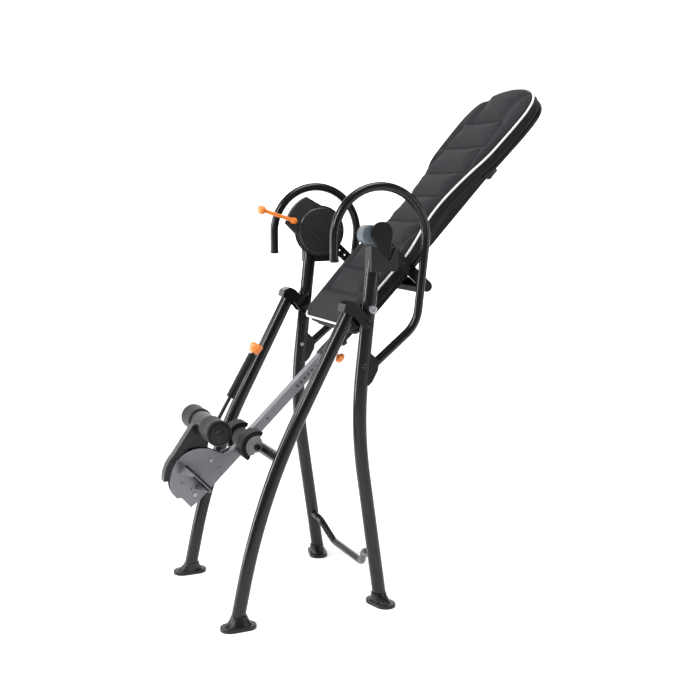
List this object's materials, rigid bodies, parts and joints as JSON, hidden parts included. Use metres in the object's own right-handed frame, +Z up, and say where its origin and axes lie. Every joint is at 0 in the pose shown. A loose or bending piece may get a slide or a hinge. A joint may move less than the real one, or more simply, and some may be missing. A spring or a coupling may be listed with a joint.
{
  "type": "inversion table",
  "caption": "Folding inversion table: a padded bed pivots between tubular side frames, with a disc brake, a sliding boom and a clamp that holds the ankles.",
  "frame": {"origin": "on the floor, under the middle of the whole table's bounding box", "axes": "+X to the user's right, +Y from the foot end to the head end, +Z up"},
  "size_m": [0.7602, 1.5498, 1.9539],
  "materials": {
    "black_frame": "semi-gloss powder coat",
    "head_grey": "satin paint",
    "cradle_grey": "satin moulded",
    "cover_grey": "fine-textured moulded",
    "black_plastic": "fine-textured moulded",
    "rubber_black": "moulded rubber",
    "silver_paint": "satin silver paint",
    "arm_grey": "satin light-grey paint",
    "foam_grey": "skinned closed-cell foam",
    "grip_foam": "soft foam grip",
    "pad_cloth": "woven nylon over foam",
    "board_black": "moulded board",
    "carrier_grey": "moulded",
    "orange_plastic": "glossy moulded",
    "bright_bolt": "zinc plated",
    "bright_steel": "turned",
    "disc_steel": "ground",
    "caliper_alloy": "cast",
    "lining": "sintered lining",
    "bush_bronze": "plain"
  },
  "bodies": {
    "base": {"rear_leg_left": "black_frame", "rear_leg_right": "black_frame", "rear_crossbar": "black_frame", "rear_feet": "rubber_black", "handlebar_left": "black_frame", "handlebar_right": "black_frame", "handle_end_caps": "black_plastic", "handle_saddles": "black_plastic", "saddle_bolts": "bright_bolt", "pivot_heads": "head_grey", "pivot_bushings": "bush_bronze", "pivot_cradles": "cradle_grey", "hub_covers": "black_plastic", "fold_pins": "bright_bolt", "lock_barrels": "bright_bolt", "brake_cover": "cover_grey", "brake_backing_plate": "black_frame", "brake_caliper": "caliper_alloy", "brake_pads": "lining", "brake_lever_pin": "bright_bolt"},
    "brake_lever": {"brake_lever": "orange_plastic"},
    "lock_knob_right": {"lock_knob_right": "bright_steel"},
    "lock_knob_left": {"lock_knob_left": "bright_steel"},
    "front_frame": {"front_leg_left": "black_frame", "front_leg_right": "black_frame", "front_feet": "rubber_black", "hinge_bracket_left": "black_frame", "hinge_bracket_right": "black_frame", "front_crossbar": "black_frame", "boom_rest": "rubber_black"},
    "bed": {"pad": "pad_cloth", "backboard": "board_black", "bed_rails": "black_frame", "bed_cross_tube": "black_frame", "pivot_arm_left": "black_frame", "pivot_arm_right": "black_frame", "pivot_shafts": "bright_steel", "brake_disc": "disc_steel", "arm_bolts": "bright_bolt", "boom_sleeve": "black_frame", "sleeve_hanger": "black_frame", "selector_barrel": "bright_bolt"},
    "selector_knob": {"selector_knob": "orange_plastic"},
    "boom": {"boom": "silver_paint", "ankle_side_plate_left": "silver_paint", "ankle_side_plate_right": "silver_paint", "plate_bolts": "bright_bolt", "foot_plate": "silver_paint", "foot_tread": "rubber_black"},
    "ankle_cups": {"ankle_cup_foam": "foam_grey", "ankle_cup_carriers": "carrier_grey", "ankle_cup_axle": "black_plastic"},
    "roller_arm": {"roller_arm": "arm_grey", "roller_hub": "black_plastic", "roller_axle": "black_plastic", "ankle_lever": "black_frame", "lever_grip": "grip_foam"},
    "foam_roller_left": {"foam_roller_left": "foam_grey"},
    "foam_roller_right": {"foam_roller_right": "foam_grey"},
    "release_button": {"release_button": "orange_plastic"}
  },
  "joints": [
    {"name": "front_frame_fold", "type": "hinge", "parent": "base", "child": "front_frame", "pos_m": [0, -0.0888, 1.079], "axis": [1, 0, 0], "range_deg": [0, 15]},
    {"name": "bed_pivot", "type": "hinge", "parent": "base", "child": "bed", "pos_m": [0, -0.0278, 1.39], "axis": [-1, 0, 0], "range_deg": [0, 133]},
    {"name": "brake_lever_turn", "type": "hinge", "parent": "base", "child": "brake_lever", "pos_m": [-0.248, -0.1488, 1.434], "axis": [-1, 0, 0], "range_deg": [0, 30]},
    {"name": "lock_knob_right_pull", "type": "slide", "parent": "base", "child": "lock_knob_right", "axis": [1, 0, 0], "range_m": [0, 0.01], "stiffness_N_per_m": 900, "springref_m": -0.01},
    {"name": "lock_knob_left_pull", "type": "slide", "parent": "base", "child": "lock_knob_left", "axis": [-1, 0, 0], "range_m": [0, 0.01], "stiffness_N_per_m": 900, "springref_m": -0.01},
    {"name": "selector_knob_pull", "type": "slide", "parent": "bed", "child": "selector_knob", "axis": [0, 0.6892, -0.7245], "range_m": [0, 0.012], "stiffness_N_per_m": 900, "springref_m": -0.01},
    {"name": "boom_slide", "type": "slide", "parent": "bed", "child": "boom", "axis": [0, -0.7245, -0.6892], "range_m": [-0.04, 0.2]},
    {"name": "ankle_cup_rock", "type": "hinge", "parent": "boom", "child": "ankle_cups", "pos_m": [0, -0.44326, 0.60808], "axis": [1, 0, 0], "range_deg": [-12, 12]},
    {"name": "ankle_clamp", "type": "hinge", "parent": "boom", "child": "roller_arm", "pos_m": [0, -0.63588, 0.48557], "axis": [1, 0, 0], "range_deg": [-6, 30]},
    {"name": "foam_roller_right_turn", "type": "hinge", "parent": "roller_arm", "child": "foam_roller_right", "pos_m": [0.12, -0.60473, 0.68497], "axis": [1, 0, 0], "continuous": true},
    {"name": "foam_roller_left_turn", "type": "hinge", "parent": "roller_arm", "child": "foam_roller_left", "pos_m": [-0.12, -0.60473, 0.68497], "axis": [1, 0, 0], "continuous": true},
    {"name": "release_button_press", "type": "slide", "parent": "roller_arm", "child": "release_button", "axis": [0, -0.5026, -0.8645], "range_m": [0, 0.004], "stiffness_N_per_m": 1500, "springref_m": -0.003}
  ]
}
